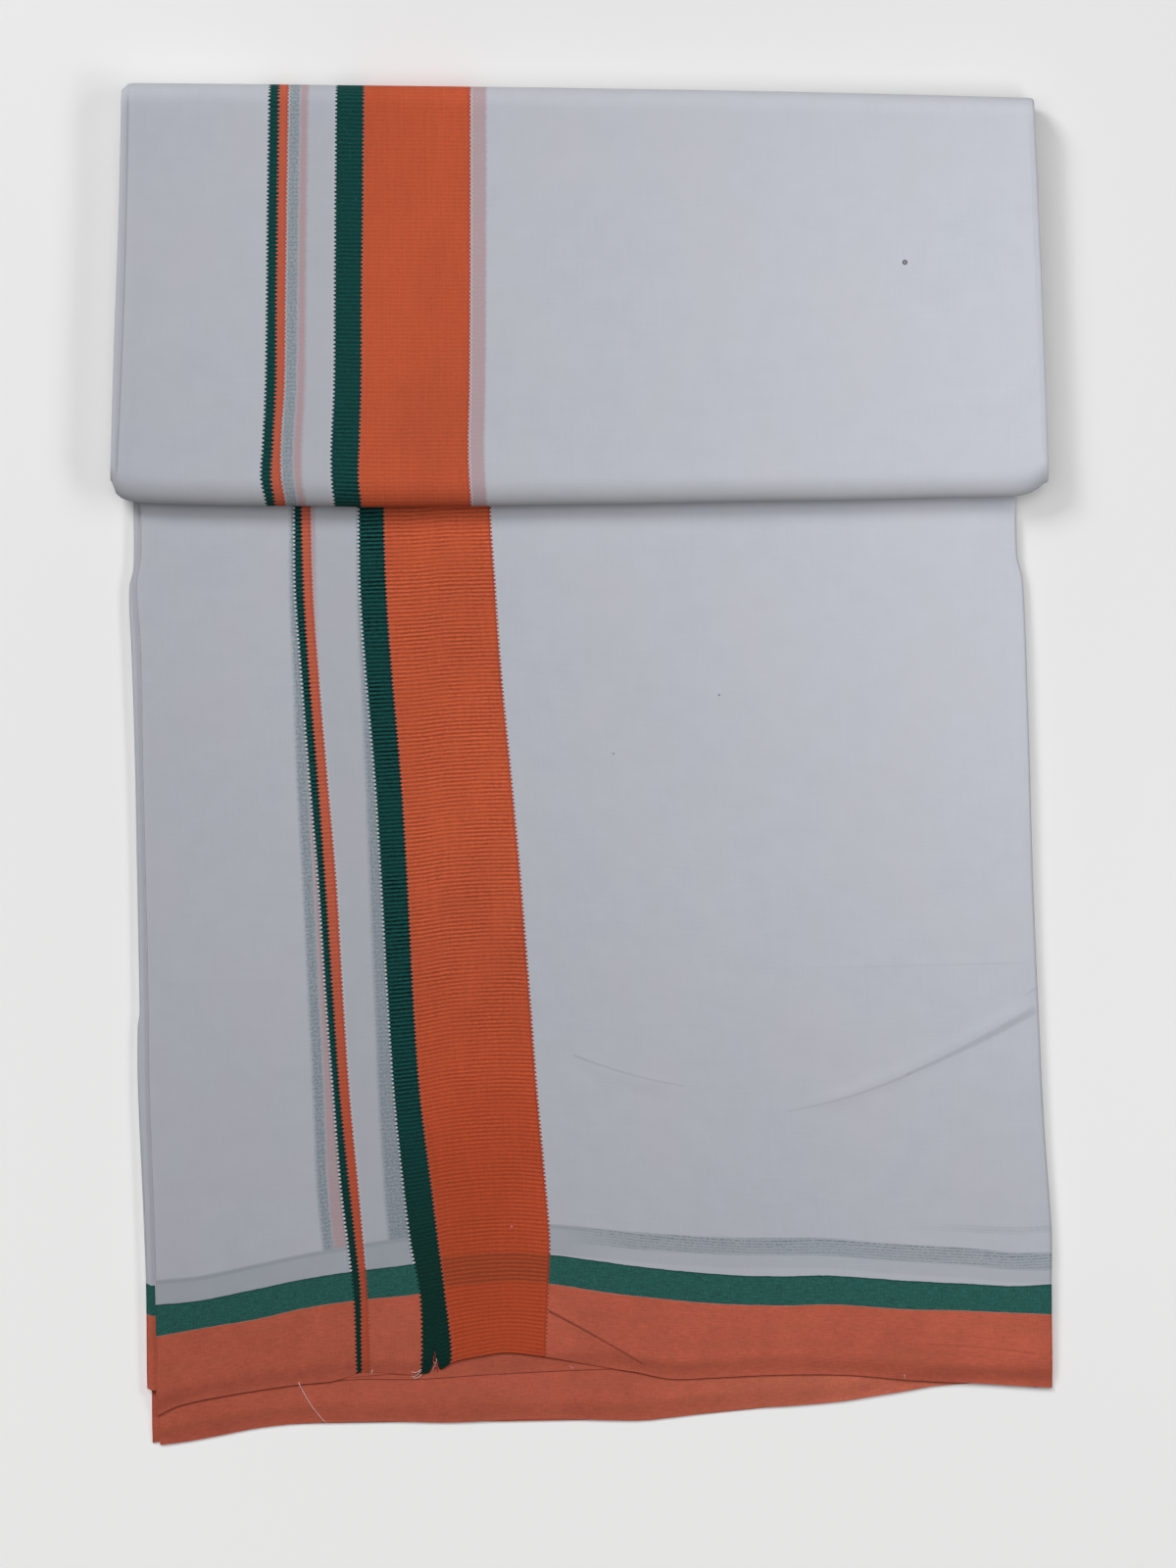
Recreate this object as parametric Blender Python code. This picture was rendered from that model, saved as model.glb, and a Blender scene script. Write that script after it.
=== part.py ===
"""A dhoti cloth, folded for storage and lying flat.

One length of white cotton is doubled and doubled again until its length is a stack of eight leaves
about 0.47 m wide, with folds down the left and right sides. The stack is then folded across: the
lower panel lies flat, and the rest turns over at the back edge, comes forward as a flap, turns
under at a rounded front fold and is tucked away inside. Every leaf that shows is a wall of cloth in
its own object, and the leaves that are hidden share one solid under the panel and one in the packet.

Frame, in metres: +X to the right, +Y from the loose selvedge towards the back fold, +Z up, with the
origin on the resting plane under the middle of the folded cloth. Tables are in millimetres.
"""

from collections import namedtuple
from math import cos, pi, sin

import bmesh
import bpy

MM = 0.001
CLOTH = 1.0  # thickness of the wall that stands for one leaf
GAP = 0.3  # clearance between two pieces that touch
FOLD_GAP = 0.5  # wider, where two pieces turn together round a fold
BACK_GAP = 1.0  # between the lower panel's leaves and the leaves that turn up at the back
STEP = CLOTH + GAP
FLAP_STEP = CLOTH + FOLD_GAP
PANEL_CORE = 1.6  # height of the hidden leaves under the lower panel
BUNDLE = 4.2  # thickness of the whole stack where it is tucked away
SLACK = 0.4  # air between two turns of the tucked stack

HALF_WIDTH = 228.5
FRONT_Y = 126.5  # front fold and back fold of the packet at mid width
BACK_Y = 328.5
BACK_TURN = 10.0  # how far the round back fold stands out from the straight run
FRONT_TURN = 13.0
TAIL_BACK = 24.0  # how far each flap leaf runs on past its two folds
TAIL_FRONT = 18.0
PANEL_TOP = PANEL_CORE + 3 * STEP
PACKET_FLOOR = PANEL_TOP + GAP
PACKET_TOP = 19.5
PACKET_FRONT_TOP = 19.2
LEVEL_TO = 0.6  # the packet's top is level from the back to this share of its depth
SLOPE_FROM = 0.3  # and has begun to drop towards the front fold by this one
TURN_STEPS = 6  # faces round half of a fold
SIDE_LIFT = 0.05  # the side folds are springy, and stand this share higher than the middle
SIDE_RIDGE = 0.9  # depth of the grooves between leaves down each side of a hidden stack
TOP_INSET_LEFT = 2.3  # the top leaf of the flap stops this far inside the leaf below it
TOP_INSET_RIGHT = 1.5
MIDDLE_INSET = 1.5  # the panel's lower leaves stop this far inside its top leaf on the right
SECOND_INSET = 2.5
UNDER_INSET = 3.5

# Where the columns and rows of faces stand.
SIDE_COLUMNS = (5, 9, 16)  # in from each side of the packet, in millimetres
MIDDLE_COLUMNS = 5
MIDDLE_SHARE = 0.08  # share of the packet's width at which its middle columns begin
EDGE_SHARE = 0.012  # share of a panel leaf's width at which its edge column stands
INNER_SHARE = 0.03  # and at which its inner columns begin
PANEL_DEPTHS = (0, 0.012, 0.04, 0.09, 0.16, 0.24, 0.34, 0.45, 0.56, 0.64, 0.69, 0.76, 1)
UNDER_COLUMNS = 10
MIDDLE_LEAF_COLUMNS = 12
SECOND_COLUMNS = 16
TOP_COLUMNS = 20
EDGES_SHOWN = 2  # leaf edges that show down each side of a hidden stack


def table(columns, *rows):
    """A table with named columns, in millimetres."""
    row_type = namedtuple("Row", columns)
    return [row_type(*row) for row in rows]


# The packet's outline from above.
PACKET_LEFT = table("y x", (127.5, -228.5), (140.5, -228.5), (228, -225.5), (323, -222))
PACKET_RIGHT = table("y x", (129, 226), (142.5, 226), (228, 223), (320, 219))
PACKET_FRONT = table(
    "x y",
    (-228.5, 138),
    (-227.5, 134.5),
    (-225.5, 131.5),
    (-221, 128),
    (-204, 126.5),
    (-163.5, 125.5),
    (-44.5, 126),
    (50.5, 129),
    (142.5, 129.5),
    (211, 130),
    (219, 132.5),
    (223.5, 136),
    (228.5, 140.5),
)
PACKET_BACK = table(
    "x y",
    (-228.5, 327),
    (-226.5, 329.5),
    (-222.5, 330.5),
    (57, 327),
    (222.5, 323),
    (226.5, 322),
    (228.5, 319),
)

# The side edges of the leaves of the lower panel, from the hem to the back fold.
TOP_LEFT = table(
    "y x",
    (-316.5, -206.5),
    (-256.5, -207),
    (-152, -210.5),
    (-104.5, -211),
    (-2, -213.5),
    (55, -214.5),
    (88.5, -216.5),
    (100, -214.5),
    (126.5, -214.5),
    (328.5, -219.5),
)
MIDDLE_LEFT = table(
    "y x",
    (-304, -211),
    (-249, -211.5),
    (-161.5, -215.5),
    (-128, -215.5),
    (-119.5, -214.5),
    (-3, -217),
    (55, -218.5),
    (85.5, -219.5),
    (95, -217.5),
    (126.5, -217.5),
    (328.5, -220.5),
)
SECOND_LEFT = table(
    "y x",
    (-330.5, -205),
    (-249, -207.5),
    (0, -213),
    (126.5, -214),
    (328.5, -219.5),
)
UNDER_LEFT = table(
    "y x",
    (-329.5, -208.5),
    (-249, -209),
    (0, -214),
    (126.5, -215),
    (328.5, -219.5),
)
TOP_RIGHT = table(
    "y x",
    (-302.5, 228.5),
    (-252, 228),
    (-226, 228),
    (-177.5, 224.5),
    (-116, 221.5),
    (-57, 219),
    (28.5, 216.5),
    (90, 214),
    (100.5, 211.5),
    (129, 211),
    (328.5, 217.5),
)

# The loose selvedges at the hem of the lower panel.
TOP_HEM = table(
    "x y",
    (-206.5, -316.5),
    (-196.5, -311.5),
    (-158, -304),
    (-108.5, -296.5),
    (-81.5, -296.5),
    (-36.5, -285.5),
    (16.5, -293.5),
    (42.5, -298.5),
    (108, -296),
    (228.5, -302.5),
)
MIDDLE_HEM = table(
    "x y",
    (-211, -304),
    (-108.5, -298.5),
    (-79, -298.5),
    (13, -293.5),
    (95, -292.5),
    (227, -297.5),
)
SECOND_HEM = table(
    "x y",
    (-205, -330.5),
    (-191.5, -329),
    (-158, -322.5),
    (-119.5, -319.5),
    (29.5, -318.5),
    (82.5, -313),
    (127.5, -309),
    (174, -301.5),
    (226, -299),
)
UNDER_HEM = table(
    "x y",
    (-208.5, -329.5),
    (-199.5, -328),
    (-158, -321),
    (29.5, -317.5),
    (127.5, -308),
    (174, -300),
    (225, -297.5),
)


def mix(start, end, share):
    return start + (end - start) * share


def smooth(rows, at):
    """The second column at this value of the first, on one smooth curve through the rows."""
    at = min(max(at, rows[0][0]), rows[-1][0])
    last = len(rows) - 1
    index = max(i for i in range(last) if i == 0 or rows[i][0] <= at)
    start, end = rows[index], rows[index + 1]
    width = end[0] - start[0]

    def slope(i):
        before, after = rows[max(i - 1, 0)], rows[min(i + 1, last)]
        return (after[1] - before[1]) / (after[0] - before[0]) * width

    t = (at - start[0]) / width
    rise = end[1] - start[1]
    bend_start, bend_end = slope(index) - rise, rise - slope(index + 1)
    return start[1] + rise * t + t * (1 - t) * (bend_start * (1 - t) + bend_end * t)


def lifted(x, z):
    """Raises a point a little towards the side folds, where the leaves spring open."""
    return z * (1 + SIDE_LIFT * (abs(x) / HALF_WIDTH) ** 6)


def packet_point(share, y, z):
    """A point of the packet from its share of the width and its place in the straight profile."""
    across = mix(-HALF_WIDTH, HALF_WIDTH, share)
    depth = (y - FRONT_Y) / (BACK_Y - FRONT_Y)
    y = mix(smooth(PACKET_FRONT, across), smooth(PACKET_BACK, across), depth)
    x = mix(smooth(PACKET_LEFT, y), smooth(PACKET_RIGHT, y), share)
    return x * MM, y * MM, lifted(x, z) * MM


def panel_point(share, depth, z, left, right_inset, hem):
    """A point of the lower panel: depth runs from the hem to where the stack turns up at the back."""
    y = mix(smooth(hem, 0), BACK_Y, depth)
    x = mix(smooth(left, y), smooth(TOP_RIGHT, y) - right_inset, share)
    across = mix(-HALF_WIDTH, HALF_WIDTH, share)
    tail = (BACK_Y - TAIL_BACK - BACK_GAP - FRONT_Y) / (BACK_Y - FRONT_Y)
    back = mix(smooth(PACKET_FRONT, across), smooth(PACKET_BACK, across), tail)
    y = mix(smooth(hem, x), back, depth)
    x = mix(smooth(left, y), smooth(TOP_RIGHT, y) - right_inset, share)
    return x * MM, y * MM, lifted(x, z) * MM


def turned(rows):
    """Outer and inner points along a folded profile.

    Each row gives a place y and the heights of the two faces there. A row whose reach isn't zero is
    followed by a round fold: both faces turn through half an ellipse to the heights of the next row.
    """
    stations = []
    for row, following in zip(rows, rows[1:] + [None]):
        stations.append(((row.y, row.outer), (row.y, row.inner)))
        if not row.outer_reach:
            continue
        for step in range(1, TURN_STEPS):
            angle = pi * step / TURN_STEPS
            faces = []
            for start, end, reach in (
                (row.outer, following.outer, row.outer_reach),
                (row.inner, following.inner, row.inner_reach),
            ):
                faces.append((row.y + reach * sin(angle), mix(start, end, (1 - cos(angle)) / 2)))
            stations.append(tuple(faces))
    return stations


def columns(count):
    """Shares of the width from the left edge to the right, closer together at the sides."""
    inner = [mix(INNER_SHARE, 1 - INNER_SHARE, i / (count - 1)) for i in range(count)]
    return [0, EDGE_SHARE] + inner + [1 - EDGE_SHARE, 1]


def packet_columns():
    """Shares of the packet's width. The second and the last but one are the top leaf's edges."""
    width = 2 * HALF_WIDTH
    left = (0, TOP_INSET_LEFT) + SIDE_COLUMNS
    right = tuple(reversed(SIDE_COLUMNS)) + (TOP_INSET_RIGHT, 0)
    steps = MIDDLE_COLUMNS - 1
    middle = [mix(MIDDLE_SHARE, 1 - MIDDLE_SHARE, i / steps) for i in range(MIDDLE_COLUMNS)]
    return [x / width for x in left] + middle + [1 - x / width for x in right]


def ribbon(name, stations, shares, point, ridges=0):
    """One closed wall, from a ring round its section at every station.

    Each ring runs to the right over the outer face and back to the left over the inner one. ridges
    is the number of leaf edges that show down each side.
    """
    side_steps = 2 * ridges - 1 if ridges else 0
    mesh = bmesh.new()
    rings = []
    for (outer_y, outer_z), (inner_y, inner_z) in stations:

        def across(share, through, groove=0.0):
            y, z = mix(outer_y, inner_y, through), mix(outer_z, inner_z, through)
            x, y, z = point(share, y, z)
            return mesh.verts.new((x + groove * MM, y, z))

        outer = [across(share, 0) for share in shares]
        inner = [across(share, 1) for share in reversed(shares)]
        right, left = [], []
        for step in range(1, side_steps + 1):
            groove = SIDE_RIDGE * (step % 2 == 0)
            through = step / (side_steps + 1)
            right.append(across(1, through, -groove))
            left.append(across(0, 1 - through, groove))
        rings.append((outer, right, inner, left))
    for ring, following in zip(rings, rings[1:]):
        here, there = sum(ring, []), sum(following, [])
        for i in range(len(here)):
            j = (i + 1) % len(here)
            mesh.faces.new((here[i], here[j], there[j], there[i]))
    for outer, right, inner, left in (rings[0], rings[-1]):
        paired = list(reversed(inner))
        for i in range(len(outer) - 1):
            mesh.faces.new((outer[i], outer[i + 1], paired[i + 1], paired[i]))
        if right:
            mesh.faces.new([outer[-1]] + right + [inner[0]])
            mesh.faces.new([inner[-1]] + left + [outer[0]])
    bmesh.ops.recalc_face_normals(mesh, faces=mesh.faces)
    if mesh.calc_volume(signed=True) < 0:
        bmesh.ops.reverse_faces(mesh, faces=mesh.faces)
    data = bpy.data.meshes.new(name)
    mesh.to_mesh(data)
    mesh.free()
    data.shade_smooth()
    data.set_sharp_from_angle(angle=pi / 4)
    obj = bpy.data.objects.new(name, data)
    bpy.context.scene.collection.objects.link(obj)
    return obj


def cotton(obj, colour, roughness=0.9):
    """A matt woven cotton of one main colour."""
    material = bpy.data.materials.new(obj.name)
    material.use_nodes = True
    shader = material.node_tree.nodes["Principled BSDF"]
    shader.inputs["Base Color"].default_value = (*colour, 1.0)
    shader.inputs["Roughness"].default_value = roughness
    shader.inputs["Metallic"].default_value = 0.0
    obj.data.materials.append(material)


def flap_profile(depth):
    """The folded profile of a flap leaf, this far in from the packet's outer face."""
    inner = depth + CLOTH
    straight_back, straight_front = BACK_Y - BACK_TURN, FRONT_Y + FRONT_TURN
    back, front = BACK_TURN - depth, FRONT_TURN - depth
    top, under_top = PACKET_TOP - depth, PACKET_TOP - inner
    front_top, under_front_top = PACKET_FRONT_TOP - depth, PACKET_FRONT_TOP - inner
    return table(
        "y outer inner outer_reach inner_reach",
        (BACK_Y - TAIL_BACK, depth, inner, 0, 0),
        (straight_back, depth, inner, back, back - CLOTH),
        (straight_back, top, under_top, 0, 0),
        (mix(FRONT_Y, BACK_Y, LEVEL_TO), top, under_top, 0, 0),
        (mix(FRONT_Y, BACK_Y, SLOPE_FROM), top, under_top, 0, 0),
        (straight_front, front_top, under_front_top, -front, CLOTH - front),
        (straight_front, PACKET_FLOOR + depth, PACKET_FLOOR + inner, 0, 0),
        (FRONT_Y + TAIL_FRONT, PACKET_FLOOR + depth, PACKET_FLOOR + inner, 0, 0),
    )


def hidden_profile():
    """The rest of the stack in the packet.

    It turns up at the back, runs forward under the flap, rounds the front fold, runs to the back
    inside the packet, turns again and ends short of the front fold.
    """
    depth = 2 * FLAP_STEP
    straight_back, straight_front = BACK_Y - BACK_TURN, FRONT_Y + FRONT_TURN
    first_top = PACKET_FLOOR + BUNDLE
    second_floor = first_top + SLACK
    second_top = second_floor + BUNDLE
    top = PACKET_TOP - depth
    front_top = PACKET_FRONT_TOP - depth
    wall = top - second_top - SLACK
    nose = BUNDLE + SLACK / 2
    back, front = BACK_TURN - depth, FRONT_TURN - depth
    tail_end = FRONT_Y + TAIL_FRONT + GAP
    return table(
        "y outer inner outer_reach inner_reach",
        (BACK_Y - TAIL_BACK, depth, PANEL_TOP, 0, 0),
        (straight_back, depth, PANEL_TOP, back, nose + 2 * SLACK),
        (straight_back, top, top - wall, 0, 0),
        (mix(FRONT_Y, BACK_Y, SLOPE_FROM), top, top - wall, 0, 0),
        (straight_front, front_top, front_top - wall, -front, wall - front),
        (straight_front, PACKET_FLOOR + depth, first_top, 0, 0),
        (tail_end, PACKET_FLOOR + depth, first_top, 0, 0),
        (tail_end + GAP, PACKET_FLOOR, first_top, 0, 0),
        (straight_back, PACKET_FLOOR, first_top, nose, SLACK),
        (straight_back, second_top, second_floor, 0, 0),
        (straight_front - SLACK, second_top, second_floor, 0, 0),
    )


def flap_leaf(name, depth, shares, colour):
    """A leaf of the flap, this far in from the packet's outer face."""
    cotton(ribbon(name, turned(flap_profile(depth)), shares, packet_point), colour)


def packet_hidden_layers(shares, colour):
    stations = turned(hidden_profile())
    cotton(ribbon("packet_hidden_layers", stations, shares, packet_point, EDGES_SHOWN), colour)


def panel_leaf(name, bottom, thickness, sides, hem, count, colour, ridges=0):
    """A flat leaf of the lower panel, whose underside is at this height.

    sides gives its left edge and how far it stops inside the top leaf on the right.
    """
    left, right_inset = sides
    stations = [((depth, bottom + thickness), (depth, bottom)) for depth in PANEL_DEPTHS]

    def point(share, depth, z):
        return panel_point(share, depth, z, left, right_inset, hem)

    cotton(ribbon(name, stations, columns(count), point, ridges), colour)


def build():
    for obj in list(bpy.data.objects):
        bpy.data.objects.remove(obj)

    white = (0.60, 0.61, 0.65)
    shaded_white = (0.54, 0.55, 0.58)
    orange = (0.42, 0.11, 0.06)

    under_sides = UNDER_LEFT, UNDER_INSET
    second_sides = SECOND_LEFT, SECOND_INSET
    middle_sides = MIDDLE_LEFT, MIDDLE_INSET
    top_sides = TOP_LEFT, 0
    second = PANEL_CORE + GAP
    middle = second + STEP
    top = middle + STEP
    panel_leaf(
        "panel_hidden_layers",
        0,
        PANEL_CORE,
        under_sides,
        UNDER_HEM,
        UNDER_COLUMNS,
        shaded_white,
        EDGES_SHOWN,
    )
    panel_leaf("panel_second_leaf", second, CLOTH, second_sides, SECOND_HEM, SECOND_COLUMNS, orange)
    panel_leaf("panel_middle_leaf", middle, CLOTH, middle_sides, MIDDLE_HEM, MIDDLE_LEAF_COLUMNS, orange)
    panel_leaf("panel_top_leaf", top, CLOTH, top_sides, TOP_HEM, TOP_COLUMNS, white)

    shares = packet_columns()
    inset_shares = shares[1:-1]
    packet_hidden_layers(inset_shares, shaded_white)
    flap_leaf("flap_second_leaf", FLAP_STEP, shares, shaded_white)
    flap_leaf("flap_top_leaf", 0, inset_shares, white)


build()
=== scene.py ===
"""A folded white cotton dhoti with green and orange borders, lying flat.

The cloth is one length folded into a stack of eight leaves, with the folds at its left and right
sides, and the stack is folded across: lower panel, flap, and two runs tucked inside. Leaf 0 is
outermost (the underside of the panel and the top of the flap) and leaf 7 is the panel's top leaf.

Tables and shapes are in millimetres, in the frame of the CAD: x to the right, y to the back, z up.
u runs along the cloth's length, from the narrow green stripe, and v across it from the selvedge.
"""

from functools import partial, reduce

import bpy
import numpy as np
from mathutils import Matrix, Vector


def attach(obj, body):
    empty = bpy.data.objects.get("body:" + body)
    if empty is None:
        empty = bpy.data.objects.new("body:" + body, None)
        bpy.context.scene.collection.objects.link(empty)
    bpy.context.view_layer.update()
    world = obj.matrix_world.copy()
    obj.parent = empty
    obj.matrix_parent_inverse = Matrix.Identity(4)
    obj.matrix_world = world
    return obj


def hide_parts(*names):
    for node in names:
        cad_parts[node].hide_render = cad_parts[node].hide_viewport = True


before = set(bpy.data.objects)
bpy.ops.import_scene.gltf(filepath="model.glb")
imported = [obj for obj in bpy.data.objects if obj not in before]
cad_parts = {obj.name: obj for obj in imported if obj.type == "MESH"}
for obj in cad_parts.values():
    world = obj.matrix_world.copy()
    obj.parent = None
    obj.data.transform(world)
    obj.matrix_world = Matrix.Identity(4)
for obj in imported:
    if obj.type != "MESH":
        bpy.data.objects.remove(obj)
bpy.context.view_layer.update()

MM = 0.001

LEAF = 0.42  # thickness of one leaf of cloth
PACKET_LEAF = 0.38  # the same where the packet presses it
PITCH = 0.69  # from one leaf of the panel to the next
HEM_PITCH = 0.17  # the same at the hem, where the cloth lies pressed
NEAR_HEM_PITCH = 0.52  # the same just inside the hem, which holds less air
PACKET_PITCH = 0.53
HEM_SHARE = 0.36  # of a leaf's thickness at the hem, where it is pressed flat
PRESSED_HEM = 10.0  # how far in from the hem they are pressed
UPPER_LIFT = 0.2  # extra gap between the upper four leaves of the panel and the lower four
OPENING = 70.0  # how far in from the hem the leaves take to spring apart

HALF_WIDTH = 228.5
FRONT_Y = 126.5
BACK_Y = 328.5
BACK_STRAIGHT = 318.5  # where the straight runs end and the round folds begin
FRONT_STRAIGHT = 139.5
TAIL_Y = 304.5  # where the panel's leaves are taken over by the packet's
BACK_REACH = 9.8
FRONT_REACH = 12.8
INNER_REACH = 4.2
PACKET_TOP = 19.3
PACKET_FRONT_TOP = 19.0
PACKET_FLOOR = 6.0
INNER_TOP = 14.4
SIDE_LIFT = 0.05

# Along the cloth: edges of the cross stripes. Across it: the selvedge's orange and green.
NARROW_MID, NARROW_RIGHT = 3.6, 7.6
WIDE_LEFT, WIDE_MID, WIDE_RIGHT = 32.0, 44.6, 95.6
GREEN_LOW, GREEN_HIGH = 35.6, 50.1
PANEL_LENGTH = 600.0
NO_STRIPES = 2000.0  # added to u on leaves whose stripes are out of sight
LEAF_U = 500  # and this much more a leaf, so that no two are alike
RIB = 1.97  # from one rib of a cross stripe to the next

PACKET_LEFT = ((127.5, -228.5), (140.5, -228.5), (228, -225.5), (295, -223.7), (323, -223))  # y, x
PACKET_RIGHT = ((129, 226), (142.5, 226), (228, 223), (320, 219))  # y, x
PACKET_FRONT = (  # x, y
    (-228.7, 143), (-228.1, 138), (-227.3, 134.4), (-225.6, 131), (-223.4, 129.2), (-218.1, 127.3), (-204, 126.3),
    (-163.5, 125.3), (-130, 125.2), (-96, 124.6), (-44.5, 125.2), (-15, 125.7), (30, 126.2), (60, 126.9), (90, 127.5),
    (120, 127.8), (148, 128.4), (178, 129.2), (211, 130), (219, 132.5), (223.5, 136), (228.5, 140.5),
)
PACKET_BACK = (  # x, y
    (-226, 324), (-223.4, 327), (-221.4, 329.4), (-217.8, 330.4), (57, 327), (222.5, 323), (226.5, 322), (228.5, 319),
)
# y, then x of the left, middle and right edges of the narrow stripe and of the wide one. PANEL_STRIPES is alike.
FLAP_STRIPES = (
    (127.3, -153, -148.7, -143.8, -119.9, -106.9, -53.9),
    (138.7, -155.3, -150.3, -145.8, -121.1, -108.1, -54.7),
    (154.8, -154.4, -149.4, -146, -121.2, -107.6, -55.2),
    (183, -153.1, -148, -144.3, -119.9, -106.8, -54.6),
    (228, -152.4, -147.7, -143.7, -119.6, -106.6, -54.3),
    (269, -152.1, -147.1, -143.2, -119.3, -106, -54.2),
    (329.5, -151.2, -146.4, -142.2, -118.8, -105.5, -54.2),
)

TOP_LEFT = (  # y, x
    (-316.5, -206.5), (-256.5, -207), (-152, -210.5), (-104.5, -211), (-2, -213.5), (55, -214.5), (88.5, -216.5),
    (100, -214.5), (126.5, -214.5), (328.5, -219.5),
)
MIDDLE_LEFT = (  # y, x
    (-304, -211), (-249, -211.5), (-161.5, -215.5), (-128, -215.5), (-119.5, -214.5), (-3, -217), (55, -218.5),
    (85.5, -219.5), (95, -217.5), (126.5, -217.5), (328.5, -220.5),
)
SECOND_LEFT = ((-330.5, -205), (-249, -207.5), (0, -213), (126.5, -214), (328.5, -219.5))  # y, x
UNDER_LEFT = ((-329.5, -208.5), (-249, -209), (0, -214), (126.5, -215), (328.5, -219.5))  # y, x
TOP_RIGHT = (  # y, x
    (-302.5, 228.5), (-252, 228), (-226, 228), (-177.5, 224.5), (-116, 221.5), (-57, 219), (28.5, 216.5), (90, 214),
    (100.5, 211.5), (129, 211), (240, 216), (304.5, 219.4), (328.5, 218.8),
)
PANEL_STRIPES = (
    (-295, -109.2, -106.9, -103.5, -78.1, -63.4, -18),
    (-282.5, -109.6, -107.1, -103.6, -77.6, -63.3, -17.7),
    (-257, -110.7, -107.4, -104.5, -78.5, -66.4, -16.7),
    (-233, -113.5, -109.7, -106.4, -83, -69.5, -15.8),
    (-206, -116.9, -112.6, -108.8, -86.5, -72.8, -17.7),
    (-161, -120.5, -117.3, -113, -91.1, -78.4, -21.8),
    (-115, -124.1, -120.6, -116.1, -94.2, -81.7, -25.3),
    (-57, -127.9, -124.5, -119.5, -97.4, -84.6, -29.9),
    (-9.5, -132, -127.9, -123.6, -100.3, -87.5, -34.2),
    (45.5, -136.3, -132.4, -128.3, -105, -92.2, -39.5),
    (84.5, -139.2, -134.9, -131, -107.7, -94.9, -42.2),
    (124, -139.6, -136.1, -132, -108.3, -96.1, -44.7),
    (328.5, -141, -137.5, -133.4, -109.7, -97.5, -46.5),
)

TOP_HEM = (  # x, y
    (-206.5, -316.4), (-196.5, -311.6), (-177.5, -307.3), (-158, -304), (-138, -301.2), (-120, -299.3),
    (-108.5, -295.6), (-102, -295), (-82, -296.4), (-77.5, -295.9), (-73.8, -294.8), (-72.4, -291), (-71.4, -288),
    (-70.3, -291.2), (-69, -293.6), (-66.5, -292.6), (-63, -290.2), (-51, -287.4), (-36.5, -285.5), (-19, -287.4),
    (0, -290.7), (16.5, -293.6), (25.5, -295), (42.5, -298.3), (63.5, -297.8), (88.5, -296.6), (108, -296.2),
    (127.5, -296.4), (141.5, -297.4), (156.5, -298.8), (170.5, -299.7), (193, -300.7), (216.5, -302.1),
    (228.5, -302.6),
)
MIDDLE_HEM = (  # x, y
    (-211, -303), (-209, -304), (-158, -301.5), (-108.5, -298.5), (-79, -298.5), (-51, -296.5), (13, -293.5),
    (95, -292.5), (227, -297.5),
)
SECOND_HEM = (  # x, y
    (-205, -330.6), (-191.5, -328.9), (-177.5, -326.3), (-158, -322.5), (-138, -320.2), (-120, -319.7),
    (-94.5, -319.2), (-63.5, -319.7), (-33, -318.3), (-13, -317.8), (9, -318.5), (29.5, -318.7), (38.5, -317.8),
    (63.5, -314.9), (82.5, -312.8), (97, -311.9), (108, -311.1), (127.5, -309.2), (141.5, -306.9), (156.5, -304.5),
    (174, -301.6), (226, -299),
)
UNDER_HEM = (  # x, y
    (-208.5, -329.5), (-199.5, -328), (-158, -321), (29.5, -317.5), (127.5, -308), (174, -300), (225, -297.5),
)
GREEN_TOP = (  # x, y
    (-206.5, -262.2), (-186, -260.3), (-158, -254.6), (-135.5, -249.9), (-111.5, -246.1), (-81, -242.3),
    (-63, -238.6), (-35, -236.6), (-15.5, -238), (0, -239.9), (25.5, -243.4), (51, -246.1), (76.5, -248),
    (98, -248.4), (117.5, -248), (137, -249.1), (161, -250.8), (190, -252.2), (209.5, -253.2), (228.5, -252.2),
)
GREEN_BOTTOM = (  # x, y
    (-206.5, -277.6), (-184, -273.6), (-158, -269.3), (-135.5, -264.1), (-110.5, -260.3), (-79.5, -257),
    (-63, -253.6), (-35, -251.2), (-15.5, -252.2), (13, -256.5), (38.5, -259.4), (63.5, -261.7), (98, -262.7),
    (122, -262.2), (159, -264.6), (180.5, -265), (204.5, -266), (228.5, -267),
)

# How far the leaf below lies from the one on top, and so how far its stripes show beside the top's.
SLIP_ALONG = (  # y, slip
    (-233, 12.6), (-199, 11.6), (-161, 10.1), (-128, 9), (-57, 7.8), (0, 6), (38, 4.3), (57, 3.7), (76, 3.1),
    (95, 2.6), (114, 2.3), (328, 2),
)
SLIP_ACROSS = (  # x, slip
    (-206, 11.4), (-128, 12.1), (-93, 13.3), (-60, 14.5), (-16, 15), (88, 18.4), (137, 17.6), (185, 17.2),
    (227, 15.2),
)
FLAP_SLIP = -9.2

# The stripes of the leaf below, as wide as they look through the white cloth.
SHOWN_STRIPES = {  # u of the narrow green's edges, the narrow orange's, and the wide stripe's
    "panel": (0.2, 5.2, 5.5, 12.2, 33.6, 96),
    "flap": (-1.6, 4.3, 4.7, 8.5, 36.6, 94.2),
}

# Specks: the cloth, x, y, outer and inner radius, and how dark (or pale) it is.
MARKS = (
    ("flap", 156.2, 243.0, 1.25, 0.5, 0.03),
    ("flap", 156.2, 243.0, 0.5, 0.0, 0.25),
    ("panel", 66.5, 33.7, 0.5, 0.0, 0.12),
    ("panel", 15.2, 5.2, 0.45, 0.0, 0.16),
    ("panel", -34.2, -224.2, 0.35, 0.0, 0.46),
)
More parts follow.
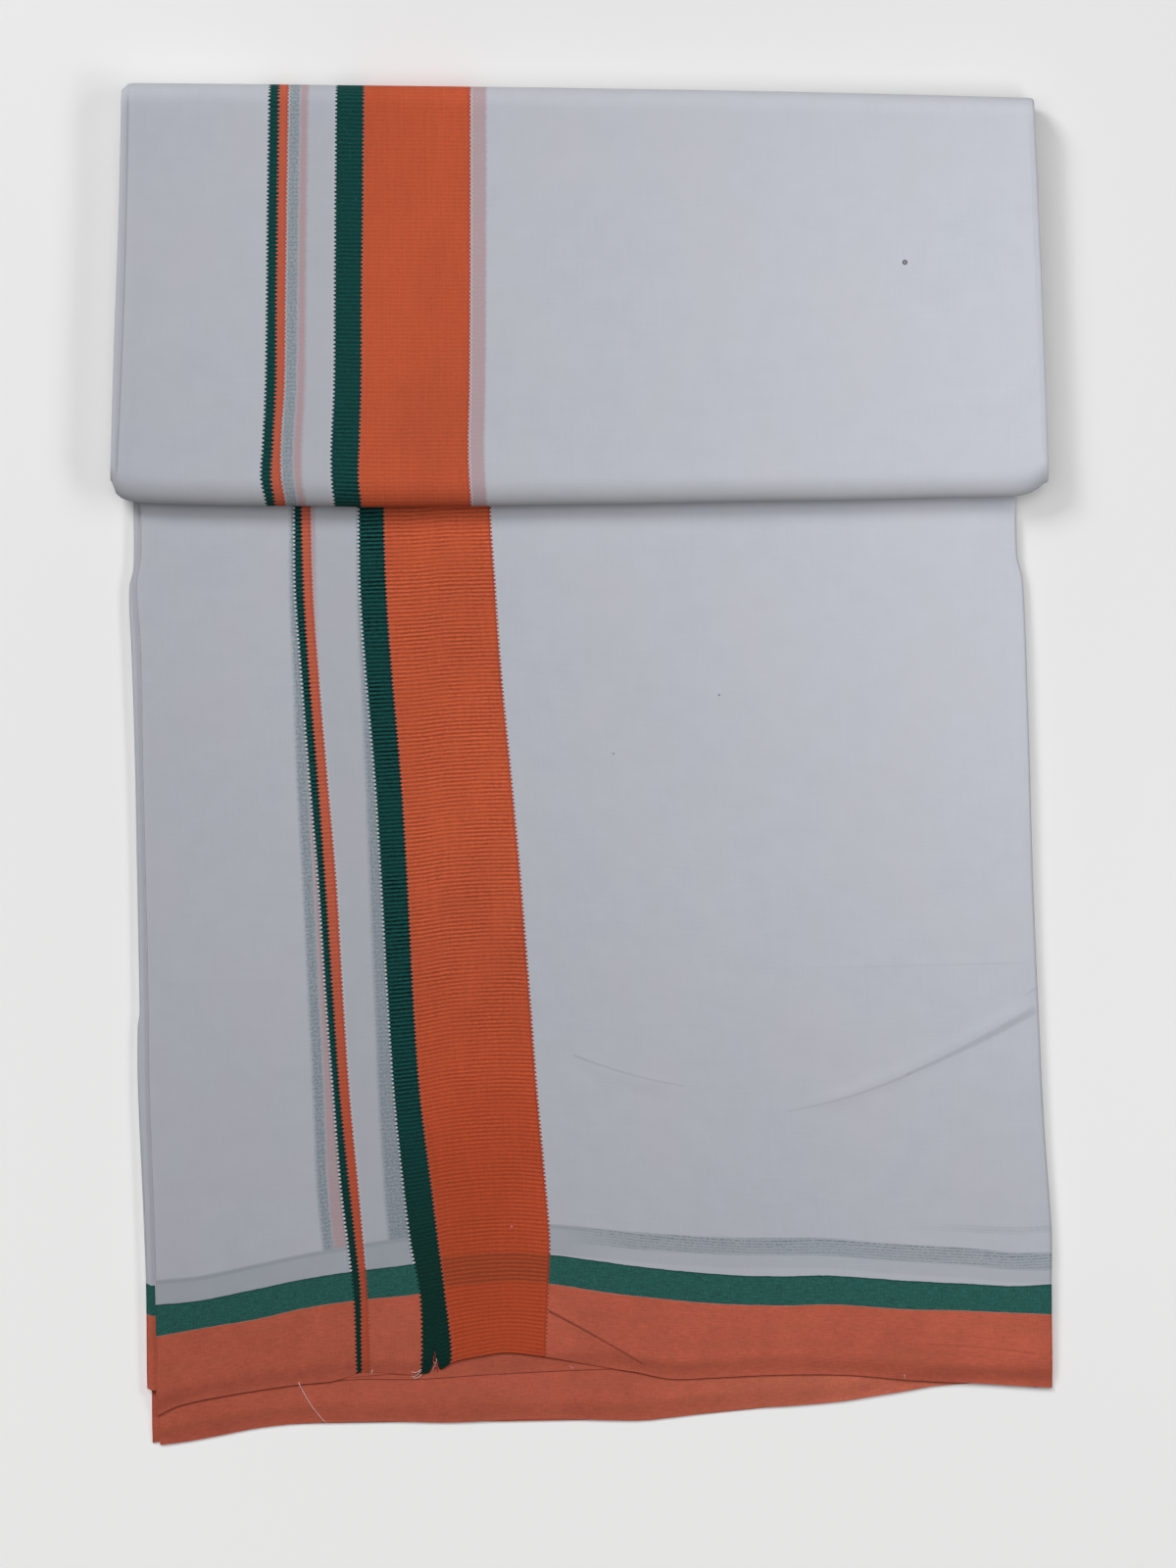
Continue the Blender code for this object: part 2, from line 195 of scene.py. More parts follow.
# Painted shade: thin dark lines along creases and edges. Columns: the cloth, x and y of both ends, the bow to
# the left, and half the width and the darkness at both ends.
PAINTED_SHADE_LINES = (
    ("panel", -5.2, -140.6, 51.3, -156.3, -1.8, 0.5, 0.4, 0.15, 0.09),
    ("panel", 97.9, -168.6, 161.6, -149.0, -2.3, 0.45, 0.65, 0.08, 0.13),
    ("panel", 155.5, -151.4, 221.9, -117.8, -1.3, 0.6, 1.9, 0.13, 0.16),
    ("panel", 50.4, -100.2, 219, -96.2, 0, 0.4, 0.55, 0.01, 0.07),
    ("panel", 214.7, -112.1, 220.9, -108.3, 0, 0.5, 0.6, 0.08, 0.13),
    ("panel", -17.5, -264.6, 31.5, -292.3, 0.5, 0.6, 0.42, 0.55, 0.34),
    ("panel", 167, -281.4, 222, -286, 0.6, 0.5, 0.5, 0.12, 0.18),
    ("flap", -225.6, 137, -219.7, 329, -1.0, 0.5, 0.5, 0.22, 0.24),
    ("flap", 223.9, 146, 216.7, 318, 0, 0.9, 0.9, 0.05, 0.05),
)

# Creases in the panel's top leaf: a positive height stands up, and width is half of what it takes up.
CREASES = (
    (0.28, 2.6, ((-5, -140), (10.5, -148), (27.5, -153.5), (44.5, -156))),
    (0.5, 2.8, ((95.5, -168), (124.5, -161.5), (156.5, -149), (183, -135), (204.5, -124), (221.5, -118))),
    (0.14, 2.2, ((79, -99.5), (150, -98), (221, -96))),
    (0.14, 2.2, ((-213, -105.5), (-135, -105))),
    (0.2, 2.6, ((-19, -263.5), (-13.5, -266), (-1, -275), (16.5, -285), (33, -292.5))),
    (0.22, 2.4, ((148, -281), (180, -284), (206, -286), (226, -288))),
    (0.25, 3, ((22, -287.5), (34, -289), (60, -291.5))),
)


SETTLING = 10  # rounds in which a grid's rows and columns settle on each other


def curve(rows, column=1):
    """A function that reads a column of a table on one smooth curve through its rows."""
    at = np.array([row[0] for row in rows], float)
    value = np.array([row[column] for row in rows], float)
    before = np.maximum(np.arange(len(at)) - 1, 0)
    after = np.minimum(np.arange(len(at)) + 1, len(at) - 1)
    slope = (value[after] - value[before]) / (at[after] - at[before])

    def read(x):
        x = np.clip(x, at[0], at[-1])
        i = np.clip(np.searchsorted(at, x, side="right") - 1, 0, len(at) - 2)
        width = at[i + 1] - at[i]
        t = (x - at[i]) / width
        rise = value[i + 1] - value[i]
        start, end = slope[i] * width - rise, rise - slope[i + 1] * width
        return value[i] + rise * t + t * (1 - t) * (start * (1 - t) + end * t)

    return read


def lifted(x, z):
    return z * (1 + SIDE_LIFT * (np.abs(x) / HALF_WIDTH) ** 6)


def smoothstep(x, low, high):
    t = np.clip((x - low) / (high - low), 0, 1)
    return t * t * (3 - 2 * t)


def spread(counts):
    """Places along a run of intervals, with this many steps in each, as interval and share."""
    places = [(i, step / count) for i, count in enumerate(counts) for step in range(count)]
    return places + [(len(counts) - 1, 1.0)]


def columns_at(lines, y, columns):
    """Each point's x, in a grid whose columns lie at their share of the way between lines x(y)."""
    at = [line(y) for line in lines]
    return np.stack([at[i][:, j] * (1 - s) + at[i + 1][:, j] * s for j, (i, s) in enumerate(columns)], axis=1)


def settle(anchors_x, anchors_y, columns, rows):
    """Plan positions of a grid whose columns lie between lines x(y) and rows between lines y(x)."""
    y = np.zeros((len(rows), len(columns)))
    for _ in range(SETTLING):
        x = columns_at(anchors_x, y, columns)
        lines = [line(x) for line in anchors_y]
        y = np.stack([lines[i][j] * (1 - s) + lines[i + 1][j] * s for j, (i, s) in enumerate(rows)], axis=0)
    return x, y


def stretch(v, marks):
    """Rows at these distances across the cloth, as interval and share between the marks."""
    i = int(np.clip(np.searchsorted(marks, v, side="right") - 1, 0, len(marks) - 2))
    return i, (v - marks[i]) / (marks[i + 1] - marks[i])


def hand_off(columns_of):
    return [np.concatenate(parts, axis=1) for parts in zip(*columns_of)]


def as_grid(columns):
    return [np.stack(field, axis=1) for field in zip(*columns)]


def turn(start, end, side, reach, steps):
    """The half turn between the edges of two leaves: side is 1 at the right and -1 at the left."""
    a = [field[:, -1] for field in start]
    b = [field[:, 0] for field in end]
    out = []
    for angle in np.pi * np.arange(1, steps) / steps:
        share = (1 - np.cos(angle)) / 2
        mixed = [p * (1 - share) + q * share for p, q in zip(a, b)]
        mixed[0] = mixed[0] + side * reach * np.sin(angle)
        mixed[3] = a[3] + side * reach * angle
        out.append(mixed)
    return as_grid(out)


def folded_left(low, upper, reach):
    """Two leaves as one sheet, joined by a fold at the left."""
    low = [field[:, ::-1] for field in low]
    return hand_off([low, turn(low, upper, -1, reach, 6), upper])


def half_thickness(thickness, v):
    """Half a leaf's thickness, which is pressed flat near the hem."""
    return thickness / 2 * (HEM_SHARE + (1 - HEM_SHARE) * smoothstep(v, 0, PRESSED_HEM))


def shell(parts, thickness):
    """Vertices, faces and UVs of closed sheets: grids of x, y, z, u, v and the layer below's u and v."""
    vertices, faces, uvs, unders = [], [], [], []
    offset = 0
    for x, y, z, u, v, under_u, under_v in parts:
        points = np.stack([x, y, z], axis=-1)
        normal = np.cross(np.gradient(points, axis=1), np.gradient(points, axis=0))
        normal /= np.maximum(np.linalg.norm(normal, axis=-1, keepdims=True), 1e-9)
        rows, columns = x.shape
        count = rows * columns
        half = half_thickness(thickness, v)[..., None]
        vertices += [side.reshape(-1, 3) for side in (points + normal * half, points - normal * half)]
        uvs += [np.stack([u, v], axis=-1).reshape(-1, 2)] * 2
        unders += [np.stack([under_u, under_v], axis=-1).reshape(-1, 2)] * 2
        index = np.arange(count).reshape(rows, columns)
        a, b, c, d = index[:-1, :-1], index[:-1, 1:], index[1:, 1:], index[1:, :-1]
        upper, lower = (np.stack(corners, axis=-1).reshape(-1, 4) for corners in ((a, b, c, d), (a, d, c, b)))
        rim = np.concatenate([index[0, :], index[1:, -1], index[-1, -2::-1], index[-2:0:-1, 0]])
        following = np.roll(rim, -1)
        wall = np.stack([rim, rim + count, following + count, following], axis=-1)
        faces.append(np.concatenate([upper, lower + count, wall]) + offset)
        offset += 2 * count
    return (np.concatenate(items) for items in (vertices, faces, uvs, unders))


def linked(name, data):
    obj = bpy.data.objects.new(name, data)
    bpy.context.scene.collection.objects.link(obj)
    return obj


def placed(name, data, material):
    """A piece of the object, from its mesh."""
    data.materials.append(material)
    obj = linked(name, data)
    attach(obj, "root")
    return obj


def cloth_object(name, parts, thickness, material):
    vertices, faces, uvs, unders = shell(parts, thickness)
    data = bpy.data.meshes.new(name)
    data.vertices.add(len(vertices))
    data.vertices.foreach_set("co", (vertices * MM).astype(np.float32).ravel())
    data.loops.add(faces.size)
    data.loops.foreach_set("vertex_index", faces.astype(np.int32).ravel())
    data.polygons.add(len(faces))
    data.polygons.foreach_set("loop_start", np.arange(0, faces.size, 4, dtype=np.int32))
    data.update(calc_edges=True)
    for layer, values in (("Cloth", uvs), ("Under", unders)):
        corner = values[faces.ravel()] * MM
        data.uv_layers.new(name=layer).data.foreach_set("uv", corner.astype(np.float32).ravel())
    data.validate()
    data.shade_smooth()
    data.set_sharp_from_angle(angle=np.radians(50))
    return placed(name, data, material)


# ---- the shapes


def swell(x, y):
    """The soft unevenness of leaves that lie loose."""
    return (
        0.2 * np.sin(x / 31 + y / 83 + 0.6)
        + 0.17 * np.sin(x / 19 - y / 57 + 2.1)
        + 0.14 * np.sin(x / 47 + y / 23 + 4.0)
        + 0.09 * np.sin(x / 11 + y / 39 + 1.0)
    )


def crease_height(x, y):
    """All the listed creases together."""
    total = np.zeros_like(x)
    for height, width, line in CREASES:
        points = np.array(line, float)
        lengths = np.linalg.norm(np.diff(points, axis=0), axis=1)
        reached = np.concatenate([[0], np.cumsum(lengths)])
        best = np.full(x.shape, 1e9)
        place = np.zeros_like(x)
        for i, length in enumerate(lengths):
            direction = (points[i + 1] - points[i]) / length
            dx, dy = x - points[i, 0], y - points[i, 1]
            t = np.clip(dx * direction[0] + dy * direction[1], 0, length)
            gap = np.hypot(dx - t * direction[0], dy - t * direction[1])
            nearer = gap < best
            best = np.where(nearer, gap, best)
            place = np.where(nearer, reached[i] + t, place)
        fade = smoothstep(place, 0, 0.25 * reached[-1]) * smoothstep(reached[-1] - place, 0, 0.12 * reached[-1])
        total += height * np.exp(-((best / width) ** 2)) * fade
    return total


def stack_pitch(reach):
    """From one leaf's middle to the next, this far in from the hems, where they are pressed together."""
    pressed = HEM_PITCH + (NEAR_HEM_PITCH - HEM_PITCH) * smoothstep(reach, 0, PRESSED_HEM)
    return pressed + (PITCH - NEAR_HEM_PITCH) * smoothstep(reach, 0, OPENING)


def panel_height(leaf, x, y, left):
    """A leaf's middle. The upper four hang together, down to the lower four's longer hem."""
    upper_reach = y - np.minimum(curve(TOP_HEM)(x), curve(MIDDLE_HEM)(x))
    lower_reach = y - curve(SECOND_HEM)(x)
    upper, lower = max(leaf - 3, 0), min(leaf, 3)
    hang = smoothstep(upper_reach, 0, 25)
    in_front = smoothstep(150 - y, 0, 50)  # of the packet, whose weight presses the leaves below it flat
    loose = (lower + upper * hang) / 7 * in_front
    z = LEAF / 2 + lower * stack_pitch(lower_reach) + upper * stack_pitch(upper_reach)
    z = z + loose * (0.35 + swell(x, y))
    if leaf > 3:
        z = z + UPPER_LIFT * in_front
    ridge = 0.35 * np.exp(-(((x - left - 4.0) / 3.2) ** 2)) + 0.2 * np.exp(-(((x - 216 + y * 0.02) / 9) ** 2))
    z = z + loose * ridge
    if leaf == 7:
        z = z + crease_height(x, y)
    if leaf in (4, 5):
        z = z - 0.3 * np.exp(-(((x - left) / 4.0) ** 2)) * smoothstep(120 - y, 0, 20) * hang
    return lifted(x, z)


def panel_rows():
    close = [0, 0.9] + list(np.arange(2.2, 34, 1.3))
    fine = list(np.arange(35.5, 432, 2.75))
    return np.array(close + fine + list(np.linspace(438, PANEL_LENGTH, 16)))


def plain_columns(shares):
    return [(0, share) for share in shares]


LEFT_END, RIGHT_END = (0, 0.004, 0.01, 0.022), (0.978, 0.99, 1)
SIDES = plain_columns((*LEFT_END, 0.05, 0.1, 0.18, 0.28, 0.39, 0.5, 0.61, 0.72, 0.82, 0.9, 0.95, *RIGHT_END))
MIDDLE = plain_columns((*LEFT_END, *np.linspace(0.04, 0.96, 60), *RIGHT_END))


def packet_line(x, y):
    """The packet's outline between its front and its back, where it would be straight at y."""
    share = (y - FRONT_Y) / (BACK_Y - FRONT_Y)
    return curve(PACKET_FRONT)(x) * (1 - share) + curve(PACKET_BACK)(x) * share


def back_line(x):
    """Where the panel's leaves end, just before the stack turns up at the back."""
    return packet_line(x, TAIL_Y)


def panel_leaf(leaf, left, right_inset, hem, columns, left_inset=0.5, hem_inset=0.0):
    """One leaf of the lower panel, from its left edge to its right."""
    wobble = 0.0 if leaf == 7 else 0.3

    def left_line(y):
        return curve(left)(y) + left_inset + wobble * np.sin(y / 29 + 1.7 * leaf)

    def right_line(y):
        return curve(TOP_RIGHT)(y) - right_inset - wobble * np.sin(y / 37 + 2.3 * leaf)

    def hem_line(x):
        return curve(hem)(x) + hem_inset

    marks = np.array([0, GREEN_LOW, GREEN_HIGH, PANEL_LENGTH])
    v = panel_rows()
    rows = [stretch(value, marks) for value in v]
    v = np.repeat(v[:, None], len(columns), axis=1)
    if leaf == 7:
        anchors_y = [hem_line, curve(GREEN_BOTTOM), curve(GREEN_TOP), back_line]
        stripes = [curve(PANEL_STRIPES, i) for i in range(1, 7)]
    else:
        shares = marks / PANEL_LENGTH
        anchors_y = [lambda x, s=s: hem_line(x) * (1 - s) + back_line(x) * s for s in shares]
        stripes = []
    x, y = settle([left_line, *stripes, right_line], anchors_y, columns, rows)
    z = panel_height(leaf, x, y, curve(left)(y))
    if stripes:
        u = stripe_u(x, y, stripes, columns)
        under_u = u + curve(SLIP_ALONG)(y)
        under_v = v - curve(SLIP_ACROSS)(x)
    else:
        u = x + NO_STRIPES + LEAF_U * leaf
        under_u, under_v = u, v + NO_STRIPES
    return [x, y, z, u, v, under_u, under_v]


def stripe_u(x, y, stripes, columns):
    """Distance along the cloth, true to the stripes between their edges and plain beyond them."""
    marks = [0, NARROW_MID, NARROW_RIGHT, WIDE_LEFT, WIDE_MID, WIDE_RIGHT]
    u = np.zeros_like(x)
    for j, (i, share) in enumerate(columns):
        if i == 0:
            u[:, j] = x[:, j] - stripes[0](y[:, j])
        elif i == 6:
            u[:, j] = WIDE_RIGHT + x[:, j] - stripes[5](y[:, j])
        else:
            u[:, j] = marks[i - 1] * (1 - share) + marks[i] * share
    return u


def return_stub(fields, length, steps=3):
    """A short end that goes on level towards the left."""
    out = []
    for step in range(1, steps + 1):
        last = [field[:, -1].copy() for field in fields]
        last[0] = last[0] - length * step / steps
        last[3] = last[3] + length * step / steps
        out.append(last)
    return as_grid(out)


def wrapped_right(fields, end, reach, stub):
    """An outermost leaf with its right edge turned round to end (x, y and z) and back under by a stub."""
    end = [*end, *(field[:, -1:] for field in fields[3:])]
    rounded = turn(fields, end, 1, reach, 9)
    end[3] = rounded[3][:, -1:]
    return hand_off([fields, rounded, end, return_stub(end, stub)])


def panel_parts():
    right = (*np.linspace(0, 0.2, 38), *np.linspace(0.2, 1, 70)[1:])
    fine = spread([32, 2, 2, 9, 15, 19, 0])[:-1] + [(6, share) for share in right]
    top = panel_leaf(7, TOP_LEFT, 1.5, TOP_HEM, fine)
    folded = panel_leaf(6, TOP_LEFT, 1.3, TOP_HEM, SIDES, hem_inset=1.2)
    folded[0][:, 0] = top[0][:, 0] + 0.1
    right_x, right_y = top[0][:, -1:], top[1][:, -1:]
    top_sheet = folded_left(folded, wrapped_right(top, (right_x, right_y, lifted(right_x, LEAF / 2)), 1.3, 8.0), 0.5)

    middle = panel_leaf(5, MIDDLE_LEFT, 0.9, MIDDLE_HEM, MIDDLE)
    middle_low = panel_leaf(4, MIDDLE_LEFT, 0.7, MIDDLE_HEM, SIDES, hem_inset=1.0)
    middle_sheet = folded_left(middle_low, middle, 0.5)

    second = panel_leaf(3, SECOND_LEFT, 0.7, SECOND_HEM, plain_columns(np.linspace(0, 1, 70)), left_inset=0.0)

    under = panel_leaf(2, UNDER_LEFT, 0.9, UNDER_HEM, SIDES)
    under_low = panel_leaf(1, UNDER_LEFT, 1.3, UNDER_HEM, SIDES, hem_inset=0.8)
    under_sheet = folded_left(under_low, under, 0.5)
    bottom = panel_leaf(0, UNDER_LEFT, 11.0, UNDER_HEM, SIDES, left_inset=1.6, hem_inset=0.4)
    return [top_sheet], [middle_sheet], [second], [under_sheet, bottom]


def packet_path(leaf):
    """The folded profile of one leaf of the packet: y and z, before it is shaped."""
    reach_loss = PACKET_PITCH * leaf
    start = LEAF / 2 + PITCH * leaf
    top = PACKET_TOP - PACKET_PITCH * leaf
    front_top = PACKET_FRONT_TOP - PACKET_PITCH * leaf
    floor = PACKET_FLOOR + PACKET_PITCH * leaf
    inner = INNER_TOP - PACKET_PITCH * leaf
    points = [(y, start) for y in np.linspace(TAIL_Y, BACK_STRAIGHT, 4)]

    def half_turn(y, z_from, z_to, reach, steps):
        for angle in np.pi * np.arange(1, steps) / steps:
            points.append((y + reach * np.sin(angle), z_from + (z_to - z_from) * (1 - np.cos(angle)) / 2))

    half_turn(BACK_STRAIGHT, start, top, BACK_REACH - reach_loss, 16)
    flat = np.linspace(BACK_STRAIGHT, FRONT_STRAIGHT, 70)
    points += [(y, top + (front_top - top) * smoothstep(-y, -200, -FRONT_STRAIGHT)) for y in flat]
    half_turn(FRONT_STRAIGHT, front_top, floor, reach_loss - FRONT_REACH, 20)
    points += [(y, floor) for y in np.linspace(FRONT_STRAIGHT, BACK_STRAIGHT, 14)]
    half_turn(BACK_STRAIGHT, floor, inner, INNER_REACH - reach_loss, 7)
    points += [(y, inner) for y in np.linspace(BACK_STRAIGHT, FRONT_STRAIGHT + 1, 12)]
    return np.array(points)


def packet_leaf(leaf, left_inset, right_inset, columns):
    """One leaf of the packet along its whole folded profile."""
    path = packet_path(leaf)

    def left_line(y):
        return curve(PACKET_LEFT)(y) + left_inset + (0.25 * np.sin(y / 23 + 1.3 * leaf) if leaf else 0)

    def right_line(y):
        return curve(PACKET_RIGHT)(y) - right_inset

    stripes = [curve(FLAP_STRIPES, i) for i in range(1, 7)] if leaf == 0 else []
    lines = [left_line, *stripes, right_line]
    y = np.repeat(path[:, :1], len(columns), axis=1)
    for _ in range(SETTLING):
        x = columns_at(lines, y, columns)
        y = packet_line(x, path[:, :1])
    length = np.concatenate([[0], np.cumsum(np.linalg.norm(np.diff(path, axis=0), axis=1))])
    v = PANEL_LENGTH + np.repeat(length[:, None], len(columns), axis=1)
    z = np.repeat(path[:, 1:], len(columns), axis=1)
    upper = smoothstep(z, 13, 16) * smoothstep(y, 124, 170) * smoothstep(BACK_STRAIGHT + 14 - y, 0, 40)
    z = z + upper * (1 - leaf / 12) * flap_swell(x, y)
    z = lifted(x, z)
    u = stripe_u(x, y, stripes, columns) if stripes else x + NO_STRIPES + LEAF_U * leaf
    under_u = u + FLAP_SLIP if stripes else u
    return [x, y, z, u, v, under_u, v]


def flap_swell(x, y):
    left = curve(PACKET_LEFT)(y)
    right = curve(PACKET_RIGHT)(y)
    return (
        0.16 * np.sin(x / 26 + y / 160 + 0.4)
        + 0.12 * np.sin(x / 15 - y / 90 + 1.9)
        + 0.1 * np.sin(x / 60 + y / 31)
        + 0.35 * np.exp(-(((x - left - 7) / 3.5) ** 2))
        + 0.25 * np.exp(-(((x - right + 7) / 4) ** 2))
        - 0.4
    )


def packet_parts():
    top = packet_leaf(0, 2.6, 2.2, spread([28, 2, 2, 9, 5, 20, 100]))
    innermost = packet_leaf(7, 1.0, 2.2, SIDES)
    top_sheet = wrapped_right(top, [field[:, -1:] for field in innermost[:3]], 2.0, 7.0)

    second_sheet = folded_left(packet_leaf(1, 0.5, 1.2, SIDES), packet_leaf(2, 0.5, 0.9, SIDES), 0.45)

    loose = packet_leaf(3, 1.7, 0.7, SIDES)
    pair = folded_left(packet_leaf(4, 1.1, 0.7, SIDES), packet_leaf(5, 1.1, 0.9, SIDES), 0.45)
    inner_pair = folded_left(packet_leaf(6, 1.5, 1.2, SIDES), packet_leaf(7, 1.5, 10.0, SIDES), 0.45)
    return [top_sheet], [second_sheet], [loose, pair, inner_pair]


# ---- the cloth's pattern


# Sums as shader nodes, in the tree of the first socket they are given. Lengths are millimetres.


def new_node(tree, kind, **settings):
    made = tree.nodes.new(kind)
    for name, value in settings.items():
        setattr(made, name, value)
    return made


def is_socket(value):
    return isinstance(value, bpy.types.NodeSocket)


def beside(sockets, kind, **settings):
    """A new node in the tree of the first of these that is a socket."""
    return new_node(next(filter(is_socket, sockets)).id_data, kind, **settings)


def put(socket, value):
    if is_socket(value):
        socket.id_data.links.new(value, socket)
    else:
        socket.default_value = value


def fill(made, values):
    """Sets a node's inputs, by their names or their numbers."""
    for name, value in values.items():
        put(made.inputs[name], value)


def math(operation, *values):
    made = beside(values, "ShaderNodeMath", operation=operation)
    fill(made, dict(enumerate(values)))
    return made.outputs[0]


def add(*values):
    return reduce(partial(math, "ADD"), values)


def times(*values):
    return reduce(partial(math, "MULTIPLY"), values)


def most(*values):
    return reduce(partial(math, "MAXIMUM"), values)


def left_of_one(share):
    return math("SUBTRACT", 1.0, share)


def measure(operation, place, vector):
    """The dot product with a fixed vector, or the distance from it."""
    made = beside([place], "ShaderNodeVectorMath", operation=operation)
    fill(made, {0: place, 1: vector})
    return made.outputs["Value"]


def ramp(x, low, high, start=0.0, end=1.0):
    """A smooth step from start to end as x goes from low to high."""
    made = beside([x], "ShaderNodeMapRange", interpolation_type="SMOOTHSTEP")
    fill(made, {"Value": x, "From Min": low, "From Max": high, "To Min": start, "To Max": end})
    return made.outputs["Result"]


def band(x, low, high, soft=0.2, soft_high=None):
    """1 between low and high and 0 outside, over soft edges."""
    soft_high = soft if soft_high is None else soft_high
    return times(ramp(x, low - soft, low + soft), ramp(x, high - soft_high, high + soft_high, 1, 0))


def bands(x, soft, *limits):
    """1 between any of these pairs of limits."""
    return most(*(band(x, low, high, soft) for low, high in limits))


def wave(x, period):
    """From 0 to 1 and back once a period."""
    turns = math("MULTIPLY_ADD", x, 2 * np.pi / period, 0.0)
    return math("MULTIPLY_ADD", math("SINE", turns), 0.5, 0.5)


def noise(u, v, across, along, detail, seed, roughness=0.5):
    """Noise from 0 to 1 whose grain is this many millimetres along u and along v."""
    place = beside([u], "ShaderNodeCombineXYZ")
    fill(place, {0: times(u, 1 / across), 1: times(v, 1 / along), 2: seed})
    made = beside([u], "ShaderNodeTexNoise")
    fill(made, {"Vector": place.outputs[0], "Scale": 1.0, "Detail": detail, "Roughness": roughness})
    return made.outputs["Fac"]


def mix(share, a, b, blend="MIX"):
    made = beside((share, a, b), "ShaderNodeMix", data_type="RGBA", blend_type=blend)
    a, b = (colour if is_socket(colour) else (*colour, 1.0) for colour in (a, b))
    fill(made, {0: share, 6: a, 7: b})
    return made.outputs[2]


def coats(colour, *layers):
    """A colour under coats of others, each with its share."""
    for share, coat in layers:
        colour = mix(share, colour, coat)
    return colour


def tint(share, colour, by):
    """A colour, times another one in this share of it."""
    return mix(share, colour, by, "MULTIPLY")


def shade(colour, factor):
    """A colour times a grey factor."""
    grey = beside([factor], "ShaderNodeCombineColor")
    fill(grey, {0: factor, 1: factor, 2: factor})
    return tint(1.0, colour, grey.outputs[0])


def cloth_uv(tree, layer):
    parts = new_node(tree, "ShaderNodeSeparateXYZ")
    put(parts.inputs[0], new_node(tree, "ShaderNodeUVMap", uv_map=layer).outputs[0])
    return times(parts.outputs[0], 1 / MM), times(parts.outputs[1], 1 / MM)


def object_place(tree):
    """The place on the object, in metres."""
    return new_node(tree, "ShaderNodeTexCoord").outputs["Object"]


def new_material(name, roughness, specular):
    material = bpy.data.materials.new(name)
    material.use_nodes = True
    shader = material.node_tree.nodes["Principled BSDF"]
    fill(shader, {"Roughness": roughness, "Specular IOR Level": specular})
    return material, material.node_tree, shader


WHITE = (0.476, 0.487, 0.514)
WARM_WHITE = (0.482, 0.472, 0.495)
SHOWN_GREEN = (0.19, 0.232, 0.25)
SHOWN_ORANGE = (0.395, 0.222, 0.222)
CROSS_GREEN = (0.0045, 0.05, 0.044)
CROSS_ORANGE = (0.52, 0.092, 0.036)
EDGE_GREEN = (0.024, 0.106, 0.086)
EDGE_ORANGE = (0.525, 0.114, 0.066)
BROWN = (0.22, 0.06, 0.028)
FLAP_V = PANEL_LENGTH + 40  # beyond it, v is on the flap
FRONT_FOLD_V = PANEL_LENGTH + 235  # where v turns down at the front fold
SECOND_PAINTED_LIGHT_U = NO_STRIPES + 3 * LEAF_U + 60  # the right part of the second leaf, which the photo has paler
SOFT = 0.12  # half the soft edge of a woven stripe


